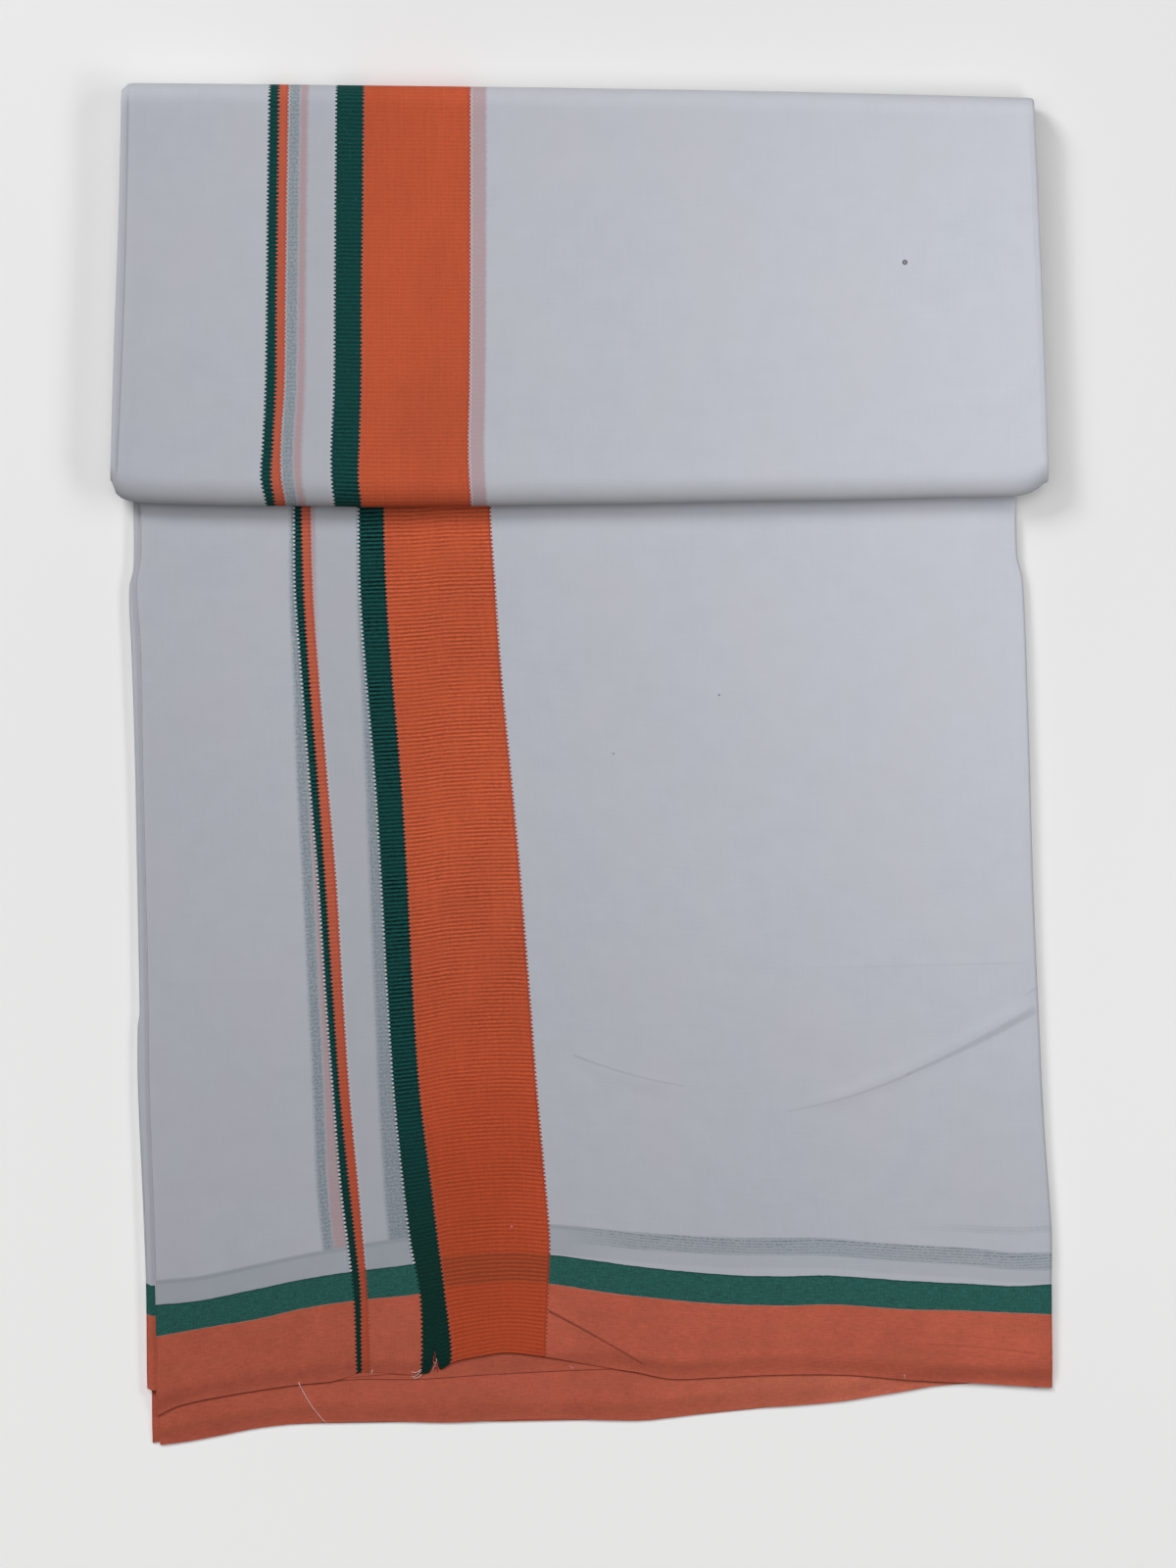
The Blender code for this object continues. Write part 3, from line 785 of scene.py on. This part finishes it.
def cotton(name, shown=None):
    """The cloth. A leaf with another's stripes showing through it names its row of SHOWN_STRIPES."""
    material, tree, shader = new_material(name, 0.88, 0.12)
    u, v = cloth_uv(tree, "Cloth")
    grainy = partial(noise, u, v)

    # Threads wander a little, and the ribs pull the stripes' edges in and out.
    wander = times(add(grainy(13, 5, 2, 3.1, 0.6), -0.5), ramp(v, 560, FLAP_V, 0.9, 1.3))
    rib_v = add(v, wander)
    rib = wave(rib_v, RIB)
    tooth = times(add(rib, -0.35), 1.15)
    edge_u = add(u, add(tooth, times(wander, 0.2)))
    edge_v = add(v, times(add(grainy(3.5, 9, 2, 6.4), -0.5), 0.5))

    narrow_orange = band(edge_u, NARROW_MID, NARROW_RIGHT + 0.4, SOFT)
    wide_orange = band(edge_u, WIDE_MID, WIDE_RIGHT + 0.3, SOFT)
    cross_green = bands(edge_u, SOFT, (0, NARROW_MID), (WIDE_LEFT, WIDE_MID))
    cross_orange = most(narrow_orange, wide_orange)
    cross = most(cross_green, cross_orange)
    edge_orange = ramp(edge_v, GREEN_LOW - 0.2, GREEN_LOW + 0.2, 1, 0)
    edge_green = band(edge_v, GREEN_LOW, GREEN_HIGH)

    fine = grainy(0.9, 0.9, 1, 7.0, 0.7)
    slub_u = grainy(14, 0.55, 1, 8.5)
    slub_v = grainy(0.6, 16, 1, 9.5)
    cloudy = grainy(45, 60, 2, 2.5)
    blotch = grainy(11, 13, 2, 4.7, 0.6)

    # White ground, a little cloudy.
    grain = ramp(add(slub_u, slub_v, times(fine, 0.6)), 0.8, 1.8, 0.98, 1.02)
    clouds = times(ramp(blotch, 0.2, 0.8, 0.982, 1.018), ramp(cloudy, 0.3, 0.7, 0.985, 1.015))
    ground = shade(WHITE, times(grain, clouds))
    ground = mix(ramp(cloudy, 0.3, 0.7, 0, 0.5), ground, WARM_WHITE)
    ground = tint(band(u, NARROW_RIGHT + 1, WIDE_LEFT - 1, 1), ground, (0.92, 0.92, 0.92))
    if shown:
        ground = layer_below(ground, u, v, rib_v, slub_u, shown)

    # Selvedge: warp threads, so it is streaked along the cloth's length.
    mottle = add(
        times(grainy(5, 0.7, 2, 11.0, 0.6), 0.6), times(grainy(0.8, 3.5, 2, 12.0, 0.7), 0.4)
    )
    green_streak = times(ramp(mottle, 0.3, 0.7, 0.74, 1.26), ramp(fine, 0.3, 0.75, 0.84, 1.24))
    green = shade(EDGE_GREEN, green_streak)
    green = mix(band(edge_v, GREEN_HIGH - 0.7, GREEN_HIGH, 0.35), green, (0.014, 0.07, 0.058))
    streak = times(ramp(mottle, 0.3, 0.7, 0.86, 1.14), ramp(blotch, 0.25, 0.75, 0.955, 1.045))
    orange = shade(EDGE_ORANGE, times(streak, ramp(cloudy, 0.3, 0.7, 0.95, 1.05)))
    orange = mix(ramp(grainy(60, 4.5, 2, 13.0), 0.42, 0.7, 0, 0.3), orange, (0.42, 0.112, 0.055))
    # Painted light: the second leaf's orange is made paler at its right, where it lies in shade below the top leaf's
    # hem.
    orange = tint(band(u, SECOND_PAINTED_LIGHT_U, SECOND_PAINTED_LIGHT_U + 250, 60), orange, (1.11, 1.27, 1.26))
    colour = coats(ground, (edge_green, green), (edge_orange, orange))

    # Cross stripes: thick weft ribs, which stand out most in the middle of the panel and at the front fold.
    relief = times(ramp(v, 60, 230, 0.88, 1.4), ramp(v, 400, 590, 1, 0.16))
    relief = add(relief, add(ramp(v, 700, 770, 0.0, 0.03), ramp(v, 785, 815, 0.0, 0.14)))
    relief = times(relief, ramp(blotch, 0.35, 0.65, 0.7, 1.3))
    uneven = add(times(rib, 0.55), times(noise(u, rib_v, 1.9, 1.2, 2, 14.0, 0.7), 0.62))
    ribs = times(add(ramp(uneven, 0.29, 0.98), -0.5), relief)
    dash = ramp(noise(u, rib_v, 2.6, 0.7, 2, 15.0, 0.6), 0.58, 0.68, 1.0, 0.86)
    glint = ramp(noise(u, rib_v, 1.5, 0.8, 1, 16.0), 0.66, 0.76, 0, 1)
    threaded = times(ramp(cloudy, 0.3, 0.7, 0.95, 1.05), ramp(slub_v, 0.35, 0.65, 0.965, 1.035))
    over_green = times(band(edge_v, GREEN_LOW, GREEN_HIGH, 1.1), ramp(rib, 0.2, 0.8, 0.58, 0.26))
    orange = coats(
        shade(CROSS_ORANGE, times(add(1.0, times(ribs, 0.42)), dash, threaded)),
        (times(glint, 0.2), (0.72, 0.2, 0.11)),
        (over_green, BROWN),
        (times(edge_orange, 0.2), (0.44, 0.066, 0.026)),
        (times(narrow_orange, 0.4), (0.5, 0.13, 0.085)),
    )
    orange = tint(ramp(v, 230, 90), orange, (0.95, 0.79, 0.71))
    orange = tint(ramp(v, 590, FLAP_V), orange, (0.96, 0.945, 0.97))
    green_relief = add(ramp(v, 40, 170, 0.42, 1.0), ramp(v, 590, FLAP_V, 0.0, 1.2))
    ribbed = add(1.0, times(ribs, green_relief))
    green = shade(CROSS_GREEN, times(ribbed, ramp(fine, 0.3, 0.7, 0.88, 1.14)))
    green = mix(times(glint, 0.3), green, (0.05, 0.19, 0.17))
    green = tint(ramp(v, 150, 20), green, (0.87, 0.62, 0.52))
    colour = coats(colour, (cross_orange, orange), (cross_green, green))

    # The stripes' bordering threads: dark beside the green, white beads between its teeth, pale between colours.
    green_edges = (0, 0.35), (NARROW_MID - 0.35, NARROW_MID), (WIDE_LEFT, WIDE_LEFT + 0.4), (WIDE_MID - 0.45, WIDE_MID)
    dark_line = bands(edge_u, 0.15, *green_edges)
    outside = times(left_of_one(most(edge_green, edge_orange)), left_of_one(cross))
    on_panel = ramp(v, PANEL_LENGTH - 60, PANEL_LENGTH - 120)
    on_flap = ramp(v, PANEL_LENGTH, FLAP_V)
    left_beads = bands(u, 0.15, (-0.7, 0.6), (WIDE_LEFT - 0.7, WIDE_LEFT + 0.6))
    narrow_beads = times(band(u, NARROW_RIGHT - 0.2, NARROW_RIGHT + 1, 0.15), most(on_flap, 0.75))
    wide_beads = times(band(u, WIDE_RIGHT - 0.2, WIDE_RIGHT + 1.1, 0.15), on_flap)
    beads = add(times(left_beads, on_panel), add(narrow_beads, wide_beads))
    beads = times(beads, ramp(rib, 0.75, 0.45), outside)
    knots = bands(u, 0.2, (-1.5, -0.4), (WIDE_LEFT - 1.6, WIDE_LEFT - 0.4))
    knots = times(knots, ramp(rib, 0.6, 0.85), outside, on_panel)
    pale = most(
        band(edge_u, WIDE_MID + 0.05, WIDE_MID + 0.4, 0.12), band(edge_u, NARROW_MID + 0.05, NARROW_MID + 0.3, 0.1)
    )
    red_line = bands(edge_u, 0.12, (WIDE_RIGHT - 0.4, WIDE_RIGHT + 0.2), (NARROW_RIGHT - 0.2, NARROW_RIGHT + 0.3))
    colour = coats(
        colour,
        (times(dark_line, 0.7), (0.002, 0.014, 0.012)),
        (times(beads, 0.6), (0.7, 0.71, 0.74)),
        (times(knots, 0.5), (0.1, 0.13, 0.14)),
        (times(pale, 0.25), (0.62, 0.25, 0.2)),
        (times(red_line, ramp(rib, 0.2, 0.7, 0.1, 0.8)), (0.3, 0.03, 0.02)),
    )
    if shown:
        colour = marked(tree, colour, shown)
    # Painted shade: the front fold is made a little grey where the cloth turns down.
    colour = tint(ramp(v, FRONT_FOLD_V - 12, FRONT_FOLD_V), colour, (0.87, 0.855, 0.845))
    put(shader.inputs["Base Color"], colour)

    # Relief: ribs in the cross stripes, a fine plain weave elsewhere, soft wrinkles all over.
    weave = add(times(add(slub_u, slub_v), 0.035), times(fine, 0.03))
    wrinkle = times(grainy(26, 20, 2, 17.0), 0.5)
    height = add(weave, times(uneven, cross, 0.1), wrinkle, times(cross, 0.05))
    bump = new_node(tree, "ShaderNodeBump")
    fill(bump, {"Strength": 0.8, "Distance": MM, "Height": height})
    put(shader.inputs["Normal"], bump.outputs[0])
    return material


def shade_line(colour, place, x, y, end_x, end_y, bow, half, end_half, depth, end_depth):
    """A crease's thin dark line of painted shade, along a shallow arc."""
    start, end = Vector((x, y, 0)), Vector((end_x, end_y, 0))
    length = (end - start).length
    along = (end - start) / length
    aside = Vector((-along.y, along.x, 0))
    share = times(add(measure("DOT_PRODUCT", place, along / MM), -start.dot(along)), 1 / length)
    arc = times(share, left_of_one(share), 4 * bow)
    side = add(measure("DOT_PRODUCT", place, aside / MM), -start.dot(aside))
    gap = math("ABSOLUTE", math("SUBTRACT", side, arc))
    half = math("MULTIPLY_ADD", share, end_half - half, half)
    depth = math("MULTIPLY_ADD", share, end_depth - depth, depth)
    dark = times(ramp(math("DIVIDE", gap, half), 0.4, 1.6, 1, 0), depth)
    return mix(times(dark, band(share, 0.02, 0.97, 0.02, 0.03)), colour, (0, 0, 0))


def marked(tree, colour, shown):
    """Specks on the cloth, and the painted shade lines along its creases and edges."""
    place = object_place(tree)
    flat = new_node(tree, "ShaderNodeVectorMath", operation="MULTIPLY")
    fill(flat, {0: place, 1: (1 / MM, 1 / MM, 0)})
    for cloth, x, y, outer, inner, tone in MARKS:
        if cloth == shown:
            gap = measure("DISTANCE", flat.outputs["Vector"], (x, y, 0))
            colour = mix(times(band(gap, inner or -1, outer, 0.15), 0.85), colour, (tone, tone, tone))
    # Painted shade: thin dark lines where creases and leaf edges would hold shade.
    for cloth, *line in PAINTED_SHADE_LINES:
        if cloth == shown:
            colour = shade_line(colour, place, *line)
    return colour


def layer_below(ground, u, v, rib_v, slub, shown):
    """The next leaf's stripes and selvedge, softened and greyed by the white cloth over them."""
    green_low, green_high, orange_low, orange_high, wide_low, wide_high = SHOWN_STRIPES[shown]
    under_u, under_v = cloth_uv(u.id_data, "Under")
    under_u = add(under_u, times(add(noise(u, v, 4, 1.6, 2, 21.0), -0.5), 1.6))
    net = add(times(wave(add(rib_v, times(slub, 1.2)), RIB), 0.18), times(wave(u, 2.3), 0.06))
    net = add(net, times(noise(u, v, 1.0, 0.9, 1, 22.0, 0.7), 1.35))
    dots = ramp(net, 0.52, 1.12, 1.3, 0.55)
    clear = ramp(under_v, GREEN_HIGH - 0.6, GREEN_HIGH + 0.6)
    seam = WIDE_MID + 3  # where the shown green gives way to the shown orange
    green = most(band(under_u, green_low, green_high, 1.4, 0.9), band(under_u, wide_low, seam, 1.7, 0.5))
    orange = most(band(under_u, orange_low, orange_high, 1.0, 1.3), band(under_u, seam, wide_high, 0.5, 0.9))
    orange = times(orange, clear, ramp(dots, 0.6, 1.3, 0.92, 1.06), 0.64)
    green = times(green, dots, clear, 0.72)

    # The selvedge below: soft on the left, and in streaky lines where it lies closer, on the right.
    near = ramp(u, 96, 140)
    selvedge = band(under_v, GREEN_LOW, GREEN_HIGH, 0.7)
    level = add(v, times(add(slub, times(noise(u, v, 9, 3, 1, 23.0), 0.5)), 0.8))
    lines = ramp(wave(level, 1.4), 0.35, 0.85)
    lines = times(lines, ramp(noise(u, v, 1.2, 0.9, 1, 24.0, 0.6), 0.38, 0.6, 0.15, 1.0))
    close = times(band(under_v, GREEN_HIGH - 8.2, GREEN_HIGH, 0.8, 0.5), near)
    streaks = times(close, lines, ramp(under_v, GREEN_HIGH - 5, GREEN_HIGH - 1.5, 0.42, 0.7))
    slant = 0.053  # of a fainter line above, which comes out from behind the selvedge towards the right
    faint_v = math("MULTIPLY_ADD", u, -slant, add(under_v, slant * 302))
    faint = times(band(faint_v, GREEN_HIGH + 8, GREEN_HIGH + 11.4, 0.9), ramp(u, 262, 310))
    top_line = times(band(under_v, GREEN_HIGH - 1.9, GREEN_HIGH + 0.1, 0.7), left_of_one(near))
    return coats(
        ground,
        (orange, SHOWN_ORANGE),
        (green, SHOWN_GREEN),
        (times(selvedge, ramp(near, 0, 1, 0.3, 0.14)), SHOWN_GREEN),
        (times(close, 0.3), SHOWN_GREEN),
        (streaks, (0.11, 0.135, 0.145)),
        (times(faint, add(times(lines, 0.22), 0.1)), SHOWN_GREEN),
        (times(top_line, 0.3), (0.22, 0.23, 0.26)),
    )


# ---- the loose threads


def tube(points, radius, sides=6):
    """Vertices and faces of a thin closed thread."""
    points = np.array(points, float)
    forward = np.gradient(points, axis=0)
    forward /= np.linalg.norm(forward, axis=1, keepdims=True)
    side = np.cross(forward, (0, 0, 1.0))
    side /= np.maximum(np.linalg.norm(side, axis=1, keepdims=True), 1e-9)
    up = np.cross(side, forward)
    angles = 2 * np.pi * np.arange(sides) / sides
    rings = [(np.cos(angles) * a[:, None] + np.sin(angles) * b[:, None]).T for a, b in zip(side, up)]
    vertices = [point + radius * out for point, ring in zip(points, rings) for out in ring]
    faces = [
        (i * sides + j, i * sides + (j + 1) % sides, (i + 1) * sides + (j + 1) % sides, (i + 1) * sides + j)
        for i in range(len(points) - 1)
        for j in range(sides)
    ]
    faces += [tuple(reversed(range(sides))), tuple(range((len(points) - 1) * sides, len(points) * sides))]
    return vertices, faces


def threads(name, strands, material):
    """Several thin threads as one object. Each strand is a radius and its points."""
    vertices, faces = [], []
    for radius, points in strands:
        more, sides = tube(points, radius)
        faces += [tuple(i + len(vertices) for i in face) for face in sides]
        vertices += [tuple(Vector(point) * MM) for point in more]
    data = bpy.data.meshes.new(name)
    data.from_pydata(vertices, [], faces)
    data.shade_smooth()
    return placed(name, data, material)


def thread_material(name, colour):
    material, tree, shader = new_material(name, 0.9, 0.5)
    twist = new_node(tree, "ShaderNodeTexNoise")
    fill(twist, {"Vector": object_place(tree), "Scale": 1800})
    put(shader.inputs["Base Color"], shade(colour, ramp(twist.outputs["Fac"], 0.3, 0.7, 0.8, 1.15)))
    return material


# ---- pieces

over_panel = cotton("dhoti_cotton_over_panel", "panel")
over_flap = cotton("dhoti_cotton_over_flap", "flap")
plain = cotton("dhoti_cotton")

panel_top, panel_middle, panel_second, panel_under = panel_parts()
flap_top, flap_second, packet_inner = packet_parts()

SHEETS = (
    ("panel_top_cloth", panel_top, LEAF, over_panel, "panel_top_leaf", "white_cotton",
     (0.88, 0.605), ["panel_middle_cloth"]),
    ("panel_middle_cloth", panel_middle, LEAF, plain, "panel_middle_leaf", "white_cotton",
     (0.87, 0.605), ["panel_second_cloth"]),
    ("panel_second_cloth", panel_second, LEAF, plain, "panel_second_leaf", "orange_selvedge",
     (0.435, 0.62), ["panel_under_cloth"]),
    ("panel_under_cloth", panel_under, LEAF, plain, "panel_hidden_layers", "white_cotton",
     (1.29, 0.62), []),
    ("flap_top_cloth", flap_top, PACKET_LEAF, over_flap, "flap_top_leaf", "white_cotton",
     (0.465, 0.64), ["flap_second_cloth"]),
    ("flap_second_cloth", flap_second, PACKET_LEAF, plain, "flap_second_leaf", "white_cotton",
     (0.9, 0.64), ["packet_inner_cloth"]),
    ("packet_inner_cloth", packet_inner, PACKET_LEAF, plain, "packet_hidden_layers", "white_cotton",
     (2.25, 0.62), ["panel_top_cloth"]),
)
for name, parts, thickness, material, in_cad, slot, flat, rests_on in SHEETS:
    piece = cloth_object(name, parts, thickness, material)
    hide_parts(in_cad)

cream = thread_material("cream_thread", (0.78, 0.60, 0.54))
red = thread_material("red_thread", (0.42, 0.04, 0.03))

# Each thread is a radius and its points: x, y and how far its middle lies above the cloth below it.
THREAD_LINE = (
    (-137.7, -300, 0.3), (-136.8, -302.3, 0.25), (-135.2, -305.2, 0.2), (-133.4, -308.4, 0.25),
    (-130.6, -312.6, 0.2), (-128.2, -315.8, 0.2), (-126, -318.4, 0.2), (-124.4, -319.7, 0.2),
)
CREAM_TUFTS = (
    (0.16, ((-77.9, -293.6, 0.3), (-79.2, -294.6, 0.4), (-81, -295.4, 0.3), (-82.9, -294.9, 0.25))),
    (0.15, ((-78.4, -294.8, 0.3), (-80, -296.4, 0.3), (-81.4, -297.2, 0.25), (-82.9, -297, 0.2))),
    (0.16, ((-77.8, -296, 0.3), (-79.3, -297.6, 0.25), (-81, -298.2, 0.2), (-82, -297.5, 0.2))),
    (0.15, ((-70.9, -288.4, 0.3), (-70.5, -289.6, 0.3), (-71.3, -291, 0.3), (-70.9, -292.4, 0.25))),
    (0.15, ((-72.3, -289.6, 0.3), (-71.2, -291.6, 0.3), (-72.4, -293.2, 0.25), (-71.8, -295.2, 0.2))),
    (0.12, ((-102, -293.9, 0.25), (-101.8, -294.6, 0.25), (-102.1, -295.5, 0.2), (-102.5, -296.3, 0.2))),
    (0.12, ((-101.7, -294, 0.25), (-102.3, -294.9, 0.25), (-102, -295.8, 0.2), (-101.5, -296.7, 0.2))),
    (0.1, ((-6, -291.9, 0.1), (-5.5, -292.6, 0.12), (-4.6, -293.2, 0.1), (-4.2, -293, 0.1))),
    (0.1, ((156.6, -296.2, 0.1), (156.5, -297, 0.12), (156.8, -297.8, 0.1), (157, -298.6, 0.1))),
)
RED_TUFTS = (
    (0.16, ((-71.9, -287, 0.3), (-72.3, -289.6, 0.3), (-71.2, -292.2, 0.3), (-72.1, -294.6, 0.25))),
    (0.16, ((-71, -289, 0.3), (-69.9, -291, 0.3), (-70.7, -293, 0.25), (-69.9, -295, 0.2))),
    (0.15, ((-71.6, -285.2, 0.35), (-71.2, -287.4, 0.3), (-71.8, -289.8, 0.3), (-71, -292, 0.25))),
)


def cloth_top(x, y):
    """The height of the panel's upper side at one place, on whichever leaf lies uppermost there."""
    for leaf, hem, left in ((7, TOP_HEM, TOP_LEFT), (5, MIDDLE_HEM, MIDDLE_LEFT), (3, SECOND_HEM, SECOND_LEFT)):
        reach = y - float(curve(hem)(x))
        if reach > 0:
            break
    x, y = np.array([[x], [y]], float)
    middle = panel_height(leaf, x, y, curve(left)(y))
    return float(middle[0] + half_thickness(LEAF, reach))


def laid(strands):
    return [(radius, [(x, y, cloth_top(x, y) + above) for x, y, above in points]) for radius, points in strands]


for name, strands, material, slot in (
    ("loose_thread", [(0.18, THREAD_LINE)], cream, "white_cotton"),
    ("frayed_hem_threads", CREAM_TUFTS, cream, "white_cotton"),
    ("frayed_notch_threads", RED_TUFTS, red, "orange_selvedge"),
):
    threads(name, laid(strands), material)

# ---- floor, light and camera, in metres

FLOOR_SIZE = 25.0  # half its side: cameras looking from any side at a low angle stand well inside it
WALL = 2.5  # height of the pale studio wall far behind
PAPER = (0.985, 0.965, 0.926)
LIT_MOST = (0.441, 0.136, 0)  # the paper is greyest here, where the lamps light it most
LIT_LEAST = (-0.046, -0.999, 0)  # the paper glows towards this side, where they light it least
GLOW = 0.8  # of the paper round about, past the lamps
NEAR, FAR = 0.5, 1.1  # between these distances the paper passes into its surroundings


def floor():
    """Pale paper that looks evenly lit: its tone and glow make up for the lamps' fall-off."""
    data = bpy.data.meshes.new("floor")
    corners = [(x * FLOOR_SIZE, y * FLOOR_SIZE) for x, y in ((-1, -1), (1, -1), (1, 1), (-1, 1))]
    walls = [((i + 1) % 4, i, i + 4, (i + 1) % 4 + 4) for i in range(4)]
    data.from_pydata([(*corner, z) for z in (0, WALL) for corner in corners], [], [(0, 1, 2, 3), *walls])
    material, tree, shader = new_material("floor_paper", 0.95, 0.1)
    place = object_place(tree)
    away = measure("DISTANCE", place, (0, 0, 0))
    here = ramp(away, NEAR, FAR, 1.0, 0.0)
    tone = times(ramp(measure("DISTANCE", place, LIT_MOST), 0.0, 0.985, 0.624, 1.0), here)
    put(shader.inputs["Base Color"], shade(PAPER, tone))
    glow = times(ramp(measure("DOT_PRODUCT", place, LIT_LEAST), -0.4, 0.979, 0.0, 0.322), here)
    put(shader.inputs["Emission Strength"], add(glow, ramp(away, NEAR, FAR, 0.0, GLOW)))
    shader.inputs["Emission Color"].default_value = (1.0, 0.99, 0.98, 1.0)
    data.materials.append(material)
    linked("floor", data)


DAYLIGHT = (0.97, 0.99, 1.035)
LAMPS = (
    ("window", (-1.4, 1.8, 1.8), 0.9, 45.5, (0, 0, 0)),
    ("overhead", (-0.32, 0.3, 1.5), 1.2, 8.1, (0, 0, 0)),
    ("right_back", (0.40, 0.35, 0.50), 0.3, 1.09, (0.35, 0.20, 0)),
    ("right_front", (0.50, 0.00, 0.55), 0.3, 1.64, (0.40, -0.05, 0)),
)

floor()
for name, place, size, power, aim in LAMPS:
    lamp = bpy.data.lights.new(name, "AREA")
    lamp.shape = "SQUARE"
    lamp.size = size
    lamp.energy = power
    lamp.color = DAYLIGHT
    obj = linked(name, lamp)
    obj.location = place
    obj.rotation_euler = (Vector(aim) - Vector(place)).to_track_quat("-Z", "Y").to_euler()
    obj.visible_camera = False

world = bpy.data.worlds.new("studio")
world.use_nodes = True
sky = world.node_tree.nodes["Background"].inputs
sky["Color"].default_value = (1.06, 1.0, 0.93, 1.0)
sky["Strength"].default_value = 0.02
bpy.context.scene.world = world
bpy.context.scene.view_settings.view_transform = "Standard"

PLANE_Z = 0.012  # the height whose scale the camera's frame is set by
FRAME_HEIGHT = 0.76
DISTANCE = 5.0
SENSOR = 36.0
lens = bpy.data.cameras.new("camera")
lens.sensor_width = SENSOR
lens.lens = SENSOR * (DISTANCE - PLANE_Z) / FRAME_HEIGHT
lens.clip_end = 50
bpy.context.scene.camera = linked("camera", lens)
bpy.context.scene.camera.location = (0.00285, -0.0095, DISTANCE)
